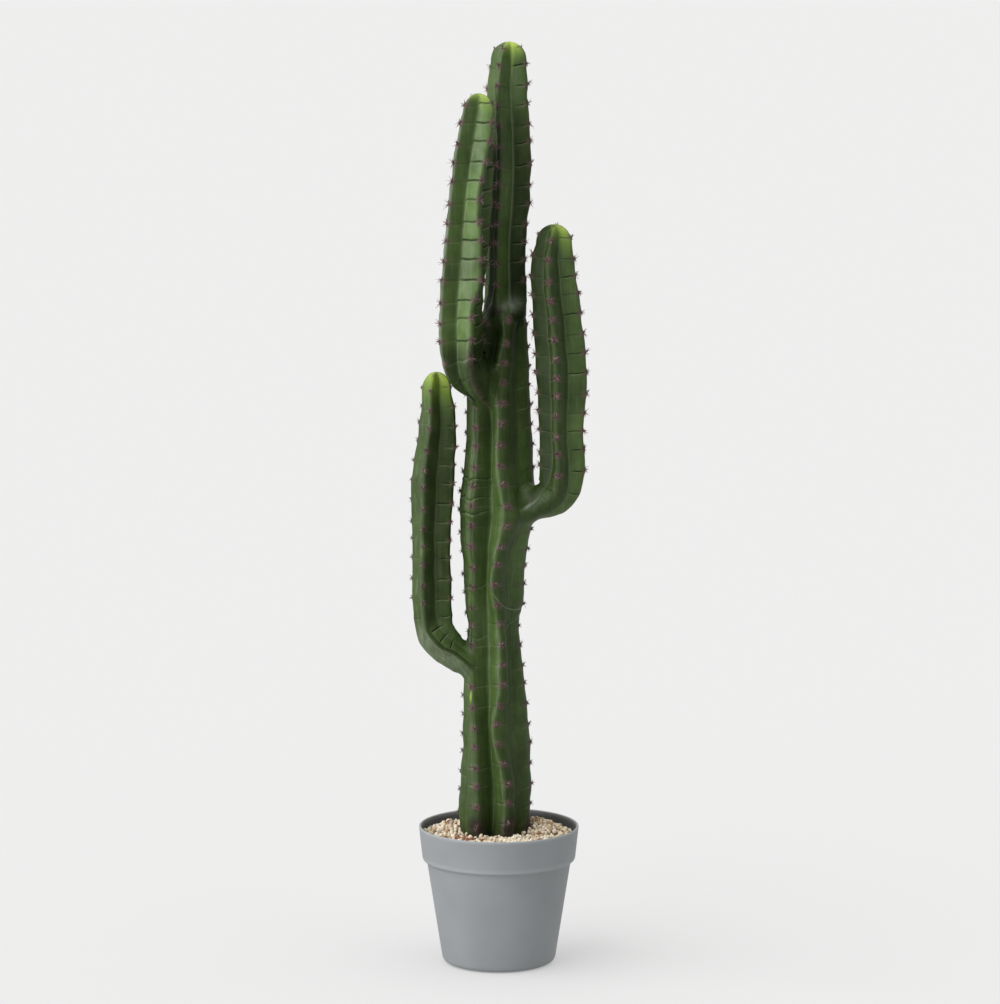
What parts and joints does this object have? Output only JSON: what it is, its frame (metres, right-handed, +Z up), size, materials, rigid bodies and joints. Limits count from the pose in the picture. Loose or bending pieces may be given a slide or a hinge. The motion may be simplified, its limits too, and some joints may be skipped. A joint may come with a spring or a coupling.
{
  "type": "artificial candelabra cactus in a pot",
  "caption": "Tall artificial candelabra cactus with a ribbed green trunk, upturned arms and small bristle tufts, standing in a grey plastic collar pot filled with pale gravel.",
  "frame": {"origin": "centre of the pot's flat underside", "axes": "+Z up along the trunk, -Y towards the side that the picture shows, +X to the picture's right"},
  "size_m": [0.2269, 0.209, 1.2],
  "materials": {
    "cactus_skin": "satin",
    "pot_plastic": "satin",
    "gravel_stone": "matte"
  },
  "bodies": {
    "root": {"pot": "pot_plastic", "gravel": "gravel_stone", "trunk": "cactus_skin", "top_stem": "cactus_skin", "left_arm_elbow": "cactus_skin", "left_arm_upright": "cactus_skin", "right_arm_elbow": "cactus_skin", "right_arm_upright": "cactus_skin", "front_arm_elbow": "cactus_skin", "front_arm_upright": "cactus_skin"}
  },
  "joints": []
}
